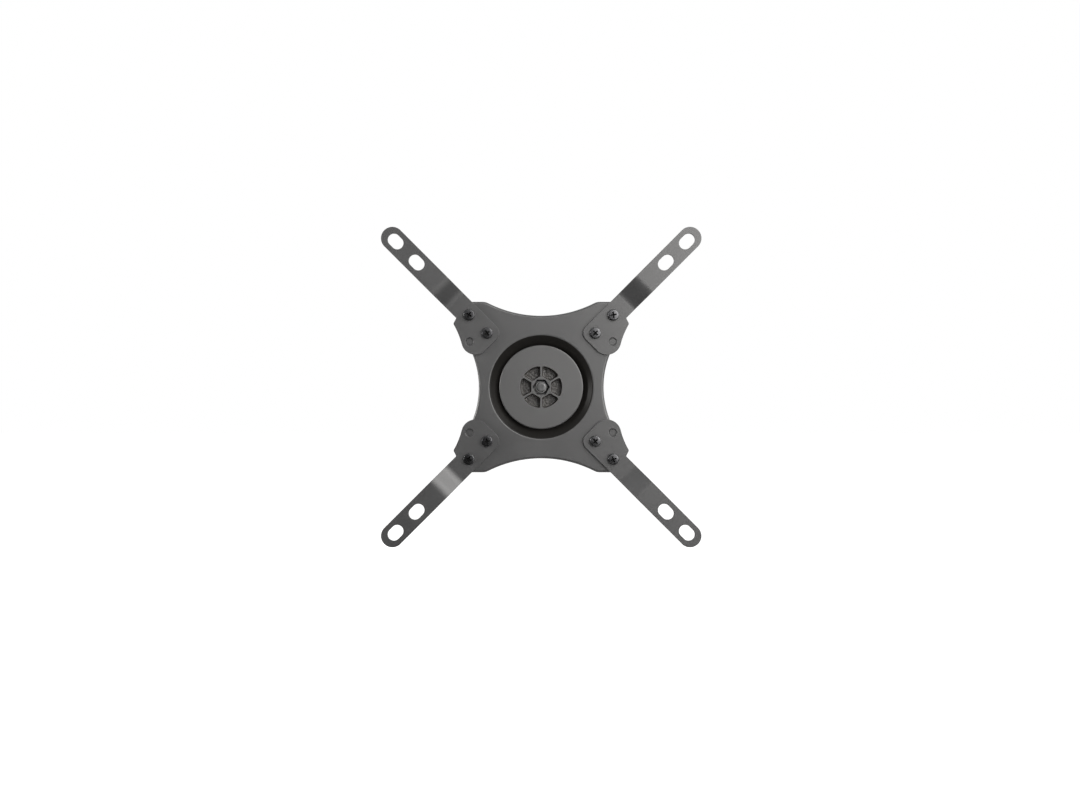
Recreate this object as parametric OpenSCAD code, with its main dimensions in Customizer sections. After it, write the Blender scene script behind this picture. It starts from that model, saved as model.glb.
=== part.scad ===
// Single-arm swivelling wall mount for a flat screen.
// +Z is up, +Y points into the wall, and the screen faces -Y.
// The origin is the centre of the wall plate's back face, where it touches the wall.

/* [Wall plate] */
// Width of the wall plate
wall_w = 56; // [50:1:90]
// Height of the wall plate
wall_h = 92; // [86:1:140]
// Thickness of the wall plate
wall_t = 2.5; // [2:0.5:4]
// Radius of the wall plate's corners
wall_corner = 8; // [3:1:9]
// Spacing of the wall screws across
wall_holes_x = 40; // [38:1:44]
// Spacing of the wall screws up and down
wall_holes_z = 76; // [70:1:76]
// Diameter of the wall screw holes
wall_hole_d = 6.5; // [5:0.5:8]

/* [Swing arm] */
// Distance from the wall to the first pivot
wall_pivot = 28; // [26:1:40]
// Distance between the arm's two pivots
arm_length = 100; // [80:5:200]
// Radius of the arm's barrels
barrel_r = 11; // [9:0.5:12]
// Half of the height of the arm's barrels
barrel_half = 19; // [17:0.5:19]
// Width of the beam between the barrels
beam_w = 14; // [10:1:18]
// Height of the beam between the barrels
beam_h = 26; // [20:1:32]
// Thickness of the folded yokes' sheet
yoke_t = 3; // [2.5:0.5:4]
// Width of the folded yokes
yoke_w = 26; // [24:1:28]
// Gap between a yoke's two ears
yoke_gap = 42; // [42:1:44]

/* [Ball joint] */
// Distance from the wall to the front of the screen plate
plate_front = 177; // [175:1:180]
// Thickness of the screen plate and of its bowl
sheet = 2; // [1.5:0.5:2]
// Radius of the bowl, on the side that faces the screen
bowl_r = 50.65; // [50.4:0.05:51]
// Distance from the screen plate's front to the bowl's centre
bowl_lift = 35.85; // [35.6:0.05:36]
// Radius of the hole in the bottom of the bowl
bowl_hole_r = 17; // [16.5:0.5:18]
// Radius of the front clamping disc
cap_r = 29.3; // [28:0.1:30]
// How far the disc's face lies behind the plate's front
cap_sink = 1.5; // [1:0.1:2]
// Radius of the six pockets in the disc
pocket_r = 14.6; // [13:0.1:16]
// Depth of the pockets
pocket_depth = 6.5; // [4:0.5:7]
// Thickness of the webs between the pockets
web_t = 1.3; // [1:0.1:2]
// Radius over the corners of the six-sided boss
boss_r = 7.9; // [7.5:0.1:9]
// Radius over the corners of the nut's socket
socket_r = 6; // [5.9:0.1:6.2]
// Radius of the rear clamping cup
cup_r = 26; // [24:0.5:27]

/* [Screen plate] */
// Half of the height and of the width of the screen plate
plate_half = 59.5; // [58:0.5:61]
// Screw spacing of the outer square pattern
pattern_outer = 100; // [100:1:100]
// Screw spacing of the inner square pattern
pattern_inner = 75; // [75:1:75]
// Half of the plate's height at the middle of its top edge
waist_top = 49.75; // [49:0.05:51]
// Radius of the hollow curve along the top and bottom edges
hollow_top_r = 81.87; // [81:0.01:83]
// Half of the plate's width at the middle of its side edge
waist_side = 43.5; // [43:0.05:45]
// Radius of the hollow curve along the side edges
hollow_side_r = 61.72; // [61:0.01:63]
// Radius of the plate's four corners
lobe_r = 9.5; // [8:0.5:10]
// Radius where a hollow curve runs into a lobe
shoulder_r = 9; // [8:0.5:10]
// Depth of the rim that is folded back round the plate
rim_depth = 5; // [4:0.5:6]
// Outside radius of the rim's fold
rim_fold = 3; // [2.5:0.5:3]

/* [Extension arms] */
// Screw spacing of the large square pattern on the arms
pattern_large = 200; // [200:1:200]
// Width of the arms
strip_w = 15.7; // [14:0.1:17]
// Distance from the centre to an arm's inner end
foot_start = 45.4; // [44:0.1:47]
// How far the arms step forward, to clear the screen's back
joggle_rise = 8; // [8:0.5:12]
// Distance from the centre to the start of the step
joggle_start = 85.5; // [82:0.5:90]
// Steepness of the step in degrees
joggle_angle = 37; // [34:1:50]
// Inside radius of the step's folds
joggle_fold = 3; // [2:0.5:3]
// Distance between an arm's two slots
slot_pitch = 20.4; // [20:0.1:24]
// Length of the slots
slot_l = 12; // [10:0.5:14]
// Width of the slots
slot_w = 8.5; // [6:0.5:9]

/* [Hidden] */
$fn = 96;
sides = ["top_left", "top_right", "bottom_left", "bottom_right"];
sign_x = [-1, 1, -1, 1];
sign_z = [1, 1, -1, -1];
// How far each cross recess is turned, for the inner and the outer screw
turn_inner = [32, 45, 12, 40];
turn_outer = [58, 8, 74, 22];

head_pivot = wall_pivot + arm_length;
ear_in = yoke_gap / 2;
ear_out = ear_in + yoke_t;
yoke_corner = 5;
pivot_r = 4;
pivot_bore = 4.05;
bush_r = 6;
bush_flange_r = 9.5;
bush_flange_t = 1.8;
pivot_washer_r = 8;
pivot_washer_t = 1.5;
pivot_across = 13;
pivot_head_h = 5.3;
pivot_nut_h = 8;
thread_gap = 0.02;
rivet_r = 2.5;
rivet_head_r = 4;
rivet_head_h = 1.8;
rivet_x = 7;
rivet_z = 12;
panel_depth = 1.5;

// The bowl, the disc, the cup and both liners share this centre, in front of the plate
ball = plate_front + bowl_lift;
bowl_out = bowl_r + sheet;
liner_t = 1;
liner_gap = 0.2;
cap_ball = bowl_r - liner_t - 2 * liner_gap;
cup_ball = bowl_out + liner_t + 2 * liner_gap;
cap_front = plate_front - cap_sink;
knuckle_front = 155;
socket_floor = cap_front - 9.4;
clamp_r = 3;
clamp_across = 10;
clamp_head_h = 4;
clamp_nut_h = 6;
// How far the nut has turned in its socket, whose flats stand at 30 degrees
nut_turn = 33;
clamp_washer_r = 6.2;
clamp_washer_t = 1.5;
clamp_head_back = knuckle_front - yoke_t - clamp_washer_t - clamp_head_h;
clamp_end = cap_front - 1.2;
liner_hole_r = 17;
rear_liner_r = 25.4;
front_liner_r = 28;
cap_edge = 0.8;
lip_inner = 1;
lip_outer = lip_inner + sheet;
lip_depth = plate_front - lip_outer;
lip_r = sqrt(pow(bowl_out + lip_inner, 2) - pow(ball - lip_depth, 2));

m4_r = 2;
m4_hole_r = 2.25;
m4_head_r = 3.9;
m4_head_h = 2.5;
m4_nut_across = 7;
m4_nut_h = 3.2;
cross_l = 4.4;
cross_w = 0.95;
cross_depth = 1.5;
arm_back = plate_front;
arm_face = arm_back + joggle_rise + sheet;
fold_back = arm_back + sheet + joggle_fold;
fold_front = arm_back + joggle_rise - joggle_fold;
joggle_reach = 2 * joggle_fold + sheet;
joggle_run = (joggle_reach + (fold_front - fold_back) * cos(joggle_angle)) / sin(joggle_angle);
joggle_end = joggle_start + joggle_run;
slot_outer = pattern_large / 2 * sqrt(2);
slot_inner = slot_outer - slot_pitch;
tip_centre = slot_outer + 3;

// Turns a shape drawn flat, with its height measured from the wall, to face the room
module facing() {
    rotate([90, 0, 0]) children();
}

// Sets a shape upright on a pivot, a given distance from the wall
module on_pivot(distance) {
    translate([0, -distance, 0]) children();
}

module hexagon(across, height) {
    cylinder(r = across / 2 / cos(30), h = height, $fn = 6);
}

module ring(outer, inner, height) {
    difference() {
        cylinder(r = outer, h = height);
        translate([0, 0, -1]) cylinder(r = inner, h = height + 2);
    }
}

module rounded_rectangle(width, height, corner) {
    square([width - 2 * corner, height], center = true);
    square([width, height - 2 * corner], center = true);
    for (x = [-1, 1], y = [-1, 1])
        translate([x * (width / 2 - corner), y * (height / 2 - corner)]) circle(r = corner);
}

module slot_shape(length, width) {
    square([length - width, width], center = true);
    for (x = [-1, 1]) translate([x * (length - width) / 2, 0]) circle(r = width / 2);
}

// A slice of a disc between two angles less than half a turn apart
module pie(radius, from, to) {
    reach = 1.6 * radius;
    middle = (from + to) / 2;
    intersection() {
        circle(r = radius);
        polygon([
            [0, 0],
            [reach * cos(from), reach * sin(from)],
            [reach * cos(middle), reach * sin(middle)],
            [reach * cos(to), reach * sin(to)]
        ]);
    }
}

// Wall side

module wall_plate() {
    color("dimgray") facing() difference() {
        linear_extrude(wall_t) rounded_rectangle(wall_w, wall_h, wall_corner);
        for (x = [-1, 1], z = [-1, 1]) {
            translate([x * wall_holes_x / 2, z * wall_holes_z / 2, -1])
                cylinder(d = wall_hole_d, h = wall_t + 2);
            translate([x * rivet_x, z * rivet_z, -1]) cylinder(r = rivet_r, h = wall_t + 2);
        }
    }
}

// A sheet folded to a U, whose web lies against what carries it, with ears that end round the pivot
module yoke(base, side, pivot) {
    reach = abs(pivot - base);
    inner_corner = yoke_corner - yoke_t;
    on_pivot(base) mirror([0, side > 0 ? 1 : 0, 0]) difference() {
        intersection() {
            rotate([90, 0, 90]) translate([0, 0, -yoke_w]) linear_extrude(2 * yoke_w) difference() {
                folded_outline(0, ear_out, yoke_corner);
                folded_outline(yoke_t, ear_in, inner_corner);
            }
            translate([0, 0, -2 * ear_out]) linear_extrude(4 * ear_out) {
                translate([-yoke_w / 2, 0]) square([yoke_w, reach]);
                translate([0, reach]) circle(r = yoke_w / 2);
            }
        }
        translate([0, reach, -2 * ear_out]) cylinder(r = pivot_r + 0.2, h = 4 * ear_out);
    }
}

// Side view of one face of a folded U: open to the right, with two round corners on the left
module folded_outline(start, half, corner) {
    depth = 100;
    translate([start, corner - half]) square([depth, 2 * (half - corner)]);
    translate([start + corner, -half]) square([depth, 2 * half]);
    for (z = [corner - half, half - corner]) translate([start + corner, z]) circle(r = corner);
}

module wall_yoke() {
    color("dimgray") difference() {
        yoke(wall_t, 1, wall_pivot);
        facing() for (x = [-1, 1], z = [-1, 1])
            translate([x * rivet_x, z * rivet_z, 0]) cylinder(r = rivet_r, h = 10);
    }
}

module yoke_rivets() {
    head_base = wall_t + yoke_t;
    dome_r = (pow(rivet_head_r, 2) + pow(rivet_head_h, 2)) / (2 * rivet_head_h);
    color("silver") facing() for (x = [-1, 1], z = [-1, 1])
        translate([x * rivet_x, z * rivet_z, 0]) {
            cylinder(r = rivet_r, h = head_base);
            intersection() {
                translate([0, 0, head_base + rivet_head_h - dome_r]) sphere(r = dome_r);
                translate([0, 0, head_base]) cylinder(r = rivet_head_r + 1, h = rivet_head_h + 1);
            }
        }
}

module pivot_bolt(distance) {
    top = ear_out + pivot_washer_t;
    end = ear_out + pivot_washer_t + pivot_nut_h + 2;
    color("silver") on_pivot(distance) {
        translate([0, 0, -end]) cylinder(r = pivot_r, h = end + top);
        translate([0, 0, top]) hexagon(pivot_across, pivot_head_h);
    }
}

// A lock nut: a hexagon with a round collar that grips the thread
module lock_nut(across, height, bore) {
    collar_h = 0.3 * height;
    difference() {
        union() {
            hexagon(across, height - collar_h);
            translate([0, 0, height - collar_h]) cylinder(d = 0.86 * across, h = collar_h);
        }
        translate([0, 0, -1]) cylinder(r = bore, h = height + 2);
    }
}

module pivot_nut(distance) {
    color("silver") on_pivot(distance) translate([0, 0, -ear_out - pivot_washer_t]) mirror([0, 0, 1])
        lock_nut(pivot_across, pivot_nut_h, pivot_r + thread_gap);
}

module pivot_washers(distance) {
    color("silver") on_pivot(distance) for (z = [ear_out, -ear_out - pivot_washer_t])
        translate([0, 0, z]) ring(pivot_washer_r, pivot_r + 0.2, pivot_washer_t);
}

module wall_pivot_bolt() { pivot_bolt(wall_pivot); }
module wall_pivot_nut() { pivot_nut(wall_pivot); }
module wall_pivot_washers() { pivot_washers(wall_pivot); }

// Swing arm

module swing_arm() {
    panel_l = arm_length - 2 * barrel_r - 12;
    panel_h = beam_h - 10;
    color("dimgray") difference() {
        union() {
            for (y = [wall_pivot, head_pivot]) on_pivot(y)
                translate([0, 0, -barrel_half]) cylinder(r = barrel_r, h = 2 * barrel_half);
            translate([-beam_w / 2, -head_pivot, -beam_h / 2]) cube([beam_w, arm_length, beam_h]);
        }
        for (y = [wall_pivot, head_pivot]) on_pivot(y)
            translate([0, 0, -barrel_half - 1]) cylinder(r = bush_r, h = 2 * barrel_half + 2);
        for (x = [-beam_w / 2 - 1, beam_w / 2 - panel_depth])
            translate([x, -(wall_pivot + head_pivot) / 2, 0]) rotate([90, 0, 90])
                linear_extrude(panel_depth + 1) rounded_rectangle(panel_l, panel_h, 5);
    }
}

// A flanged sleeve at each end of a barrel
module barrel_bushes(distance) {
    sleeve_h = 14;
    color("ivory") on_pivot(distance) for (flip = [0, 1]) mirror([0, 0, flip]) difference() {
        union() {
            translate([0, 0, barrel_half - sleeve_h]) cylinder(r = bush_r, h = sleeve_h);
            translate([0, 0, barrel_half]) cylinder(r = bush_flange_r, h = bush_flange_t);
        }
        translate([0, 0, barrel_half - sleeve_h - 1]) cylinder(r = pivot_bore, h = sleeve_h + 10);
    }
}

module wall_end_bushes() { barrel_bushes(wall_pivot); }
module head_end_bushes() { barrel_bushes(head_pivot); }

// Knuckle and clamp

module knuckle() {
    color("dimgray") difference() {
        yoke(knuckle_front, -1, head_pivot);
        facing() translate([0, 0, knuckle_front - 10]) cylinder(r = clamp_r + 0.2, h = 20);
    }
}

module head_pivot_bolt() { pivot_bolt(head_pivot); }
module head_pivot_nut() { pivot_nut(head_pivot); }
module head_pivot_washers() { pivot_washers(head_pivot); }

// Outline of half a section, drawn as radius and distance from the wall, spun to a solid
module spun() {
    facing() rotate_extrude() children();
}

module ball_circle(radius) {
    intersection() {
        translate([0, ball]) circle(r = radius);
        translate([0, ball - radius]) square([radius, radius]);
    }
}

module rear_cup() {
    color("dimgray") spun() difference() {
        translate([clamp_r + 0.2, knuckle_front]) square([cup_r - clamp_r - 0.2, 20]);
        translate([0, ball]) circle(r = cup_ball);
    }
}

module liner(outer_ball, hole_r, edge_r) {
    spun() intersection() {
        difference() {
            ball_circle(outer_ball);
            translate([0, ball]) circle(r = outer_ball - liner_t);
        }
        translate([hole_r, 0]) square([edge_r - hole_r, ball]);
    }
}

module rear_liner() {
    color("ivory") liner(cup_ball - liner_gap, liner_hole_r, rear_liner_r);
}

module front_liner() {
    color("ivory") liner(bowl_r - liner_gap, liner_hole_r, front_liner_r);
}

module clamp_bolt() {
    color("silver") facing() {
        translate([0, 0, clamp_head_back]) hexagon(clamp_across, clamp_head_h);
        translate([0, 0, clamp_head_back + clamp_head_h])
            cylinder(r = clamp_r, h = clamp_end - clamp_head_back - clamp_head_h);
    }
}

module clamp_washer() {
    color("silver") facing() translate([0, 0, knuckle_front - yoke_t - clamp_washer_t])
        ring(clamp_washer_r, clamp_r + 0.2, clamp_washer_t);
}

module clamp_nut() {
    color("silver") facing() translate([0, 0, socket_floor]) rotate([0, 0, nut_turn])
        lock_nut(clamp_across, clamp_nut_h, clamp_r + thread_gap);
}

// The disc that shows in the middle: domed behind, flat in front, cored out by six pockets
module front_cap() {
    color("dimgray") difference() {
        spun() difference() {
            intersection() {
                ball_circle(cap_ball);
                translate([clamp_r + 0.2, 0]) square([cap_r - clamp_r - 0.2, cap_front]);
            }
            translate([cap_r - cap_edge, cap_front - cap_edge]) difference() {
                square(2 * cap_edge);
                circle(r = cap_edge);
            }
        }
        facing() translate([0, 0, cap_front - pocket_depth]) linear_extrude(pocket_depth + 1)
            pocket_shape();
        facing() translate([0, 0, socket_floor]) rotate([0, 0, 30])
            cylinder(r = socket_r, h = 20, $fn = 6);
    }
}

module pocket_shape() {
    difference() {
        circle(r = pocket_r);
        rotate(30) circle(r = boss_r, $fn = 6);
        for (a = [30, 90, 150]) rotate(a) square([2 * pocket_r, web_t], center = true);
    }
}

// Screen plate

// Half section of a post whose top edge is rounded, as radius and height
module post_section(radius, front, fold) {
    square([radius, front - fold]);
    square([radius - fold, front + 5]);
    translate([radius - fold, front - fold]) circle(r = fold);
}

// Half section of a round cutter that leaves a rounded edge along a hollow curve
module flare_section(radius, front, fold) {
    square([radius, front + 5]);
    translate([radius - 1, front - fold]) difference() {
        square([fold + 1, fold + 5]);
        translate([fold + 1, 0]) circle(r = fold);
    }
}

// Section straight through the plate, with rounded edges at the front
module block_section(half, front, fold) {
    translate([-half, 0]) square([2 * half, front - fold]);
    translate([fold - half, 0]) square([2 * (half - fold), front]);
    for (x = [fold - half, half - fold]) translate([x, front - fold]) circle(r = fold);
}

// What is taken off beyond a lobe's round corner
module corner_cut(radius, front, fold) {
    translate([pattern_outer / 2, pattern_outer / 2, 0]) difference() {
        translate([0, 0, 1]) cube([2 * radius, 2 * radius, front + 2]);
        rotate_extrude() post_section(radius, front, fold);
    }
}

// What is taken off where a hollow curve would meet the straight edge in a point
module shoulder_cut(half, radius, hollow, centre, front, fold) {
    y = half - radius;
    x = sqrt(pow(hollow + radius, 2) - pow(centre - y, 2));
    past = 0.2;
    translate([x, y, 0]) difference() {
        translate([0, 0, 1]) linear_extrude(front + 2) polygon([
            [0, 0],
            [0, past * hollow],
            [-past * x, past * (centre - y)]
        ]);
        rotate_extrude() post_section(radius, front, fold);
    }
}

// A solid slab of the plate's outline with a rounded front edge, moved in by an even inset
module plate_block(inset, front, fold) {
    half = plate_half - inset;
    shoulder = shoulder_r - inset;
    hollow_top = hollow_top_r + inset;
    hollow_side = hollow_side_r + inset;
    top = waist_top + hollow_top_r;
    side = waist_side + hollow_side_r;
    difference() {
        intersection() {
            rotate([90, 0, 90]) linear_extrude(2 * plate_half + 4, center = true)
                block_section(half, front, fold);
            rotate([90, 0, 0]) linear_extrude(2 * plate_half + 4, center = true)
                block_section(half, front, fold);
            translate([-100, -100, plate_front - rim_depth]) cube([200, 200, 2 * rim_depth]);
        }
        for (x = [0, 1], y = [0, 1]) mirror([x, 0, 0]) mirror([0, y, 0]) {
            corner_cut(lobe_r - inset, front, fold);
            shoulder_cut(half, shoulder, hollow_top, top, front, fold);
            mirror([1, -1, 0]) shoulder_cut(half, shoulder, hollow_side, side, front, fold);
        }
        for (y = [-top, top]) translate([0, y, 0]) rotate_extrude() flare_section(hollow_top, front, fold);
        for (x = [-side, side]) translate([x, 0, 0]) rotate_extrude() flare_section(hollow_side, front, fold);
    }
}

// Section of the bowl: a curved sheet that ends in a soft lip where it meets the flat of the plate
module bowl_section() {
    intersection() {
        difference() {
            translate([0, ball]) circle(r = bowl_out);
            translate([0, ball]) circle(r = bowl_r);
        }
        lip_side();
        translate([bowl_hole_r, 0]) square([bowl_out, ball]);
    }
    difference() {
        translate([lip_r, lip_depth]) intersection() {
            circle(r = lip_outer);
            translate([-lip_outer, 0]) square(lip_outer);
        }
        translate([lip_r, lip_depth]) circle(r = lip_inner);
        lip_side();
    }
}

// The side of the line through the bowl's centre and the lip's centre that holds the bowl
module lip_side() {
    polygon([[0, ball], [0, 2 * lip_depth - ball], [2 * lip_r, 2 * lip_depth - ball]]);
}

module screen_plate() {
    color("dimgray") facing() difference() {
        union() {
            difference() {
                plate_block(0, plate_front, rim_fold);
                plate_block(sheet, plate_front - sheet, rim_fold - sheet);
                cylinder(r = lip_r, h = 2 * plate_front);
            }
            rotate_extrude() bowl_section();
        }
        for (x = [-1, 1], y = [-1, 1], p = [pattern_inner, pattern_outer])
            translate([x * p / 2, y * p / 2, plate_front - 10]) cylinder(r = m4_hole_r, h = 20);
    }
}

// Extension arms and their screws

// Seen from the front: a strip with a round tip, and a foot that spreads to one side
module arm_outline() {
    half = strip_w / 2;
    small_r = 6.5;
    big_r = 9.7;
    big = [foot_start + big_r, 9.6];
    nub_r = 1.3;
    nub = [73.2, 10.7];
    top_a = 66;
    nub_a = 40;
    polygon([
        [tip_centre, -half],
        [tip_centre, half],
        [77.3, half],
        nub + nub_r * [cos(nub_a), sin(nub_a)],
        nub + nub_r * [cos(top_a), sin(top_a)],
        big + big_r * [cos(top_a), sin(top_a)],
        [foot_start, big.y],
        [foot_start, small_r - half],
        [foot_start + small_r, -half]
    ]);
    translate([foot_start + small_r, small_r - half]) circle(r = small_r);
    translate(big) circle(r = big_r);
    translate(nub) circle(r = nub_r);
    translate([tip_centre, 0]) circle(r = half);
}

// Seen from the side: flat, then a step towards the room with two soft folds
module arm_side() {
    outer = joggle_fold + sheet;
    low = [joggle_start, fold_back];
    high = [joggle_end, fold_front];
    lean = [sin(joggle_angle), -cos(joggle_angle)];
    root = foot_start - 1;
    end = tip_centre + strip_w;
    difference() {
        union() {
            polygon([
                [root, arm_back],
                [joggle_start, arm_back],
                low + outer * lean,
                high - joggle_fold * lean,
                [joggle_end, arm_face - sheet],
                [end, arm_face - sheet],
                [end, arm_face],
                [joggle_end, arm_face],
                high - outer * lean,
                low + joggle_fold * lean,
                [joggle_start, arm_back + sheet],
                [root, arm_back + sheet]
            ]);
            translate(low) pie(outer, -90, joggle_angle - 90);
            translate(high) pie(outer, 90, joggle_angle + 90);
        }
        for (centre = [low, high]) translate(centre) circle(r = joggle_fold);
    }
}

module extension_arm(x, z) {
    dimple = [57.5, 12.8];
    dimple_r = 2.9;
    dimple_depth = 0.8;
    color("dimgray") facing() mirror([x < 0 ? 1 : 0, 0, 0]) mirror([0, z < 0 ? 1 : 0, 0])
        rotate([0, 0, 45]) mirror([0, 1, 0]) difference() {
            intersection() {
                translate([0, 0, arm_back - 1]) linear_extrude(joggle_rise + sheet + 2) arm_outline();
                translate([0, strip_w * 2, 0]) rotate([90, 0, 0]) linear_extrude(strip_w * 3) arm_side();
            }
            for (u = [pattern_inner, pattern_outer])
                translate([u / sqrt(2), 0, arm_back - 1]) cylinder(r = m4_hole_r, h = sheet + 2);
            for (u = [slot_inner, slot_outer])
                translate([u, 0, arm_face - 10]) linear_extrude(20) slot_shape(slot_l, slot_w);
            translate([dimple.x, dimple.y, arm_back + sheet - dimple_depth])
                cylinder(r = dimple_r, h = 2);
        }
}

module at_pattern(pattern, i) {
    facing() translate([sign_x[i] * pattern / 2, sign_z[i] * pattern / 2, 0]) children();
}

// Pan head with a cross recess, and a shank through foot and plate
module arm_screw(pattern, i, turn) {
    seat = arm_back + sheet;
    dome_r = 5.2;
    color("dimgray") at_pattern(pattern, i) difference() {
        union() {
            translate([0, 0, plate_front - sheet - m4_nut_h - 1])
                cylinder(r = m4_r, h = seat - plate_front + sheet + m4_nut_h + 1);
            intersection() {
                translate([0, 0, seat]) cylinder(r = m4_head_r, h = m4_head_h);
                translate([0, 0, seat + m4_head_h - dome_r]) sphere(r = dome_r);
            }
        }
        translate([0, 0, seat + m4_head_h - cross_depth / 2]) rotate([0, 0, turn]) for (a = [0, 90])
            rotate([0, 0, a]) cube([cross_l, cross_w, cross_depth], center = true);
    }
}

module arm_nut(pattern, i) {
    color("silver") at_pattern(pattern, i) translate([0, 0, plate_front - sheet - m4_nut_h]) difference() {
        hexagon(m4_nut_across, m4_nut_h);
        translate([0, 0, -1]) cylinder(r = m4_r + thread_gap, h = m4_nut_h + 2);
    }
}

wall_plate();
wall_yoke();
yoke_rivets();
wall_pivot_bolt();
wall_pivot_nut();
wall_pivot_washers();
swing_arm();
wall_end_bushes();
head_end_bushes();
knuckle();
head_pivot_bolt();
head_pivot_nut();
head_pivot_washers();
rear_cup();
clamp_bolt();
clamp_washer();
clamp_nut();
front_cap();
rear_liner();
front_liner();
screen_plate();
for (i = [0:3]) {
    extension_arm(sign_x[i], sign_z[i]);
    arm_screw(pattern_inner, i, turn_inner[i]);
    arm_screw(pattern_outer, i, turn_outer[i]);
    arm_nut(pattern_inner, i);
    arm_nut(pattern_outer, i);
}
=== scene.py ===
import math

import bmesh
import bpy
from mathutils import Matrix, Vector


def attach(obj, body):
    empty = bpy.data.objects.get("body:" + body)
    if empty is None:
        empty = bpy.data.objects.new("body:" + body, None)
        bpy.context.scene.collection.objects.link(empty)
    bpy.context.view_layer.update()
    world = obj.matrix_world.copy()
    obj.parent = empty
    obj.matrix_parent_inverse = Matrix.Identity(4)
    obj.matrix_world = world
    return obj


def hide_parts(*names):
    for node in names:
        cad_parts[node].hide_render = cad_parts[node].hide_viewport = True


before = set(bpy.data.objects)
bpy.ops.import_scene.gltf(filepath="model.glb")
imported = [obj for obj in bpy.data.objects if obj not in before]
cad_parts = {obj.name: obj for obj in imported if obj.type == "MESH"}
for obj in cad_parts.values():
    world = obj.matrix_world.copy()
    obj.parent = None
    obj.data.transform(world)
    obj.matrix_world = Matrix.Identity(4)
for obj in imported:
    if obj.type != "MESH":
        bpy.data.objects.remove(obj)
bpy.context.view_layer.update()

# Wall plate
# A flat steel plate, 2.5 mm thick, with four holes for the wall screws and four for the yoke's rivets.
# It is cut out of sheet, its edges are broken in a tumbler, and it is powder coated dark grey.

mm = 0.001
toward_room = Vector((0, -1, 0))
upward = Vector((0, 0, 1))
outline_error = 0.01 * mm
seam_gap = 0.002 * mm
close_by = 0.001 * mm
flat_angle = 0.1
crease = 40
hole_steps = 36


def place(across, up, depth):
    """A point of the mount in millimetres: across, up, and its distance from the wall."""
    return Vector((across * mm, -depth * mm, up * mm))


def begin(bm, point):
    """Sets down the first point of an outline."""
    return bmesh.ops.create_vert(bm, co=point)["vert"][0]


def straight(bm, last, point):
    """Draws a straight edge from the last point and returns the new one."""
    new = bmesh.ops.extrude_vert_indiv(bm, verts=[last])["verts"][0]
    new.co = point
    return new


def points_of(made):
    """Picks the points out of what an operator made."""
    return [g for g in made if isinstance(g, bmesh.types.BMVert)]


def curve(bm, last, centre, degrees, axis=toward_room):
    """Draws a round edge about a centre, a left turn as seen against the axis, and returns its end."""
    arm = last.co - centre
    radius = (arm - arm.project(axis)).length
    finest = 2 * math.degrees(math.acos(1 - outline_error / radius))
    steps = math.ceil(abs(degrees) / finest)
    spun = bmesh.ops.spin(
        bm, geom=[last], cent=centre, axis=axis, angle=math.radians(degrees), steps=steps,
        use_merge=False, use_duplicate=False,
    )
    return points_of(spun["geom_last"])[0]


def in_order(edges):
    """Sorts edges by their places, so that each run draws and cuts up a shape in the same way."""
    return sorted(edges, key=lambda e: [round(c / mm, 3) for c in e.verts[0].co + e.verts[1].co])


def edges_at(points):
    """The edges that meet at the points."""
    return in_order({e for v in points for e in v.link_edges})


def circle(bm, centre, radius):
    """Draws a round hole's edge, upright, and returns its edges."""
    upright = Matrix.Translation(centre) @ Matrix.Rotation(math.radians(90), 4, "X")
    ring = bmesh.ops.create_circle(bm, segments=hole_steps, radius=radius * mm, matrix=upright)["verts"]
    return edges_at(ring)


def rectangle(bm, width, height, corner, depth):
    """Draws an upright rectangle with round corners about the middle of the mount."""
    x = width / 2
    z = height / 2
    last = begin(bm, place(x, corner - z, depth))
    last = straight(bm, last, place(x, z - corner, depth))
    last = curve(bm, last, place(x - corner, z - corner, depth), 90)
    last = straight(bm, last, place(corner - x, z, depth))
    last = curve(bm, last, place(corner - x, z - corner, depth), 90)
    last = straight(bm, last, place(-x, corner - z, depth))
    last = curve(bm, last, place(corner - x, corner - z, depth), 90)
    last = straight(bm, last, place(x - corner, -z, depth))
    curve(bm, last, place(x - corner, corner - z, depth), 90)
    close_seams(bm)


def close_seams(bm):
    """Merges the points that lie on each other."""
    bmesh.ops.remove_doubles(bm, verts=bm.verts, dist=seam_gap)


def fill(bm, depth=0):
    """Fills the outlines at a depth with flat faces, and leaves a hole where one lies inside another."""
    flat = [v for v in bm.verts if abs(v.co.y + depth * mm) < close_by]
    open_edges = [e for e in bm.edges if len(e.link_faces) < 2 and all(v in flat for v in e.verts)]
    filled = bmesh.ops.triangle_fill(
        bm, edges=in_order(open_edges), use_beauty=True, use_dissolve=False, normal=toward_room
    )
    new = [g for g in filled["geom"] if isinstance(g, bmesh.types.BMFace)]
    shared = {e for f in new for e in f.edges if e.is_manifold and all(f in new for f in e.link_faces)}
    bmesh.ops.dissolve_limit(bm, angle_limit=math.radians(flat_angle), edges=in_order(shared))


def thicken(bm, thickness, direction=toward_room):
    """Turns a flat sheet of faces into a plate."""
    grown = bmesh.ops.extrude_face_region(bm, geom=bm.faces[:])["geom"]
    bmesh.ops.translate(bm, verts=points_of(grown), vec=direction * thickness * mm)
    bmesh.ops.recalc_face_normals(bm, faces=bm.faces)


def round_edges(bm, radius, over=crease, segments=3, chosen=None, clamp=True):
    """Rounds the edges that turn by more than an angle, or only the chosen ones of them."""
    bm.normal_update()
    least = math.radians(over)
    edges = [e for e in chosen or bm.edges if e.is_manifold and e.calc_face_angle() > least]
    bmesh.ops.bevel(
        bm, geom=edges, offset=radius * mm, offset_type="OFFSET", segments=segments, profile=0.5,
        affect="EDGES", clamp_overlap=clamp, material=-1,
    )


def as_mesh(bm, name):
    """Turns a drawing into a mesh and lets go of the drawing."""
    mesh = bpy.data.meshes.new(name)
    bm.to_mesh(mesh)
    bm.free()
    return mesh


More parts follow.
